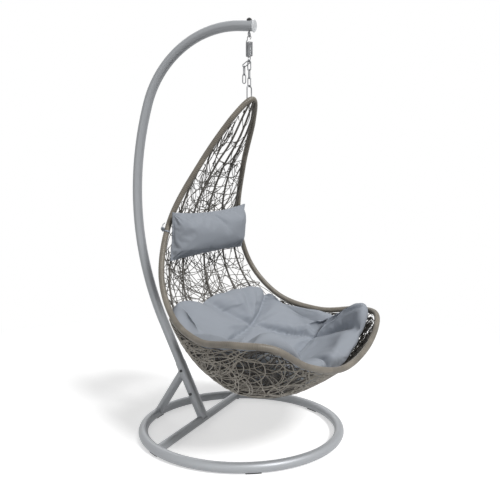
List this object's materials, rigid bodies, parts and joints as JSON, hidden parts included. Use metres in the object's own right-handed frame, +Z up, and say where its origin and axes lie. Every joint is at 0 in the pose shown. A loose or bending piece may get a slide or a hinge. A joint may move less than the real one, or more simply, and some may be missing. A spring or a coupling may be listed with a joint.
{
  "type": "hanging egg chair",
  "caption": "Teardrop hanging chair: woven shell with seat cushion and head pillow, hung by spring and chain from a curved one-arm mast on a round floor ring; it swings, turns and bounces.",
  "frame": {"origin": "on the floor, at the centre of the model's plan box", "axes": "+Z up; the seat of the stand faces -Y and its mast stands behind it on the +Y side; +X is the sitter's left"},
  "size_m": [1.0965, 1.2376, 1.9845],
  "materials": {
    "stand_coat": "satin silver-grey powder coat",
    "zinc_steel": "bright zinc plate",
    "dark_bolts": "blackened steel",
    "black_plastic": "matt black plastic",
    "cap_chrome": "glossy light grey plastic",
    "rim_steel": "grey coat, hidden under the wrap",
    "rib_steel": "taupe coat",
    "wicker": "taupe-grey synthetic wicker, semi-matt",
    "cushion_cloth": "blue-grey woven polyester"
  },
  "bodies": {
    "stand": {"base_ring": "stand_coat", "crossbar": "stand_coat", "floor_pads": "black_plastic", "mast_socket": "stand_coat", "brace": "stand_coat", "mast": "stand_coat", "end_cap": "cap_chrome", "socket_bolts": "dark_bolts", "socket_nuts": "dark_bolts", "eye_bolt": "zinc_steel", "eye_bolt_nut": "zinc_steel", "eye_bolt_washer": "zinc_steel", "dome_cap": "black_plastic"},
    "spring_top": {"spring_top_hook": "zinc_steel", "spring": "zinc_steel"},
    "spring_bottom": {"spring_bottom_hook": "zinc_steel"},
    "link_1": {"chain_link_1": "zinc_steel"},
    "link_2": {"chain_link_2": "zinc_steel"},
    "link_3": {"chain_link_3": "zinc_steel"},
    "basket": {"hanging_eye": "zinc_steel", "rim_tube": "rim_steel", "rim_wrap": "wicker", "rib_centre": "rib_steel", "rib_inner_left": "rib_steel", "rib_inner_right": "rib_steel", "rib_outer_left": "rib_steel", "rib_outer_right": "rib_steel", "back_weave": "wicker", "seat_weave": "wicker", "seat_cushion": "cushion_cloth", "head_pillow": "cushion_cloth", "pillow_ties": "cushion_cloth"},
    "spare_1": {"spare_link_1": "zinc_steel"},
    "spare_2": {"spare_link_2": "zinc_steel"},
    "spare_3": {"spare_link_3": "zinc_steel"}
  },
  "joints": [
    {"name": "swing_fore_aft", "type": "hinge", "parent": "stand", "child": "spring_top", "pos_m": [0.04836, -0.03998, 1.89706], "axis": [1, 0, 0], "range_deg": [-14, 3]},
    {"name": "spring_stretch", "type": "slide", "parent": "spring_top", "child": "spring_bottom", "axis": [0, 0, -1], "range_m": [0, 0.03], "stiffness_N_per_m": 25000, "springref_m": -0.012, "deforming": ["spring"]},
    {"name": "chain_swing", "type": "hinge", "parent": "spring_bottom", "child": "link_1", "pos_m": [0.04836, -0.03998, 1.78021], "axis": [1, 0, 0], "range_deg": [-6, 1]},
    {"name": "side_swing", "type": "hinge", "parent": "link_1", "child": "link_2", "pos_m": [0.04836, -0.03998, 1.74191], "axis": [0, 1, 0], "range_deg": [-8, 8]},
    {"name": "chain_turn", "type": "hinge", "parent": "link_2", "child": "link_3", "pos_m": [0.04836, -0.03998, 1.70931], "axis": [0, 0, 1], "range_deg": [-21, 28], "stiffness_Nm_per_rad": 1},
    {"name": "basket_turn", "type": "hinge", "parent": "link_3", "child": "basket", "pos_m": [0.04836, -0.03998, 1.67201], "axis": [0, 0, 1], "range_deg": [-21, 28], "stiffness_Nm_per_rad": 1},
    {"name": "spare_swing", "type": "hinge", "parent": "spring_bottom", "child": "spare_1", "pos_m": [0.04286, -0.03998, 1.78063], "axis": [1, 0, 0], "range_deg": [-1, 25]},
    {"name": "spare_mid_swing", "type": "hinge", "parent": "spare_1", "child": "spare_2", "pos_m": [0.04286, -0.01623, 1.75829], "axis": [1, 0, 0], "range_deg": [-1, 8]},
    {"name": "spare_end_swing", "type": "hinge", "parent": "spare_2", "child": "spare_3", "pos_m": [0.04286, -0.01623, 1.72049], "axis": [1, 0, 0], "range_deg": [-1, 15]}
  ]
}
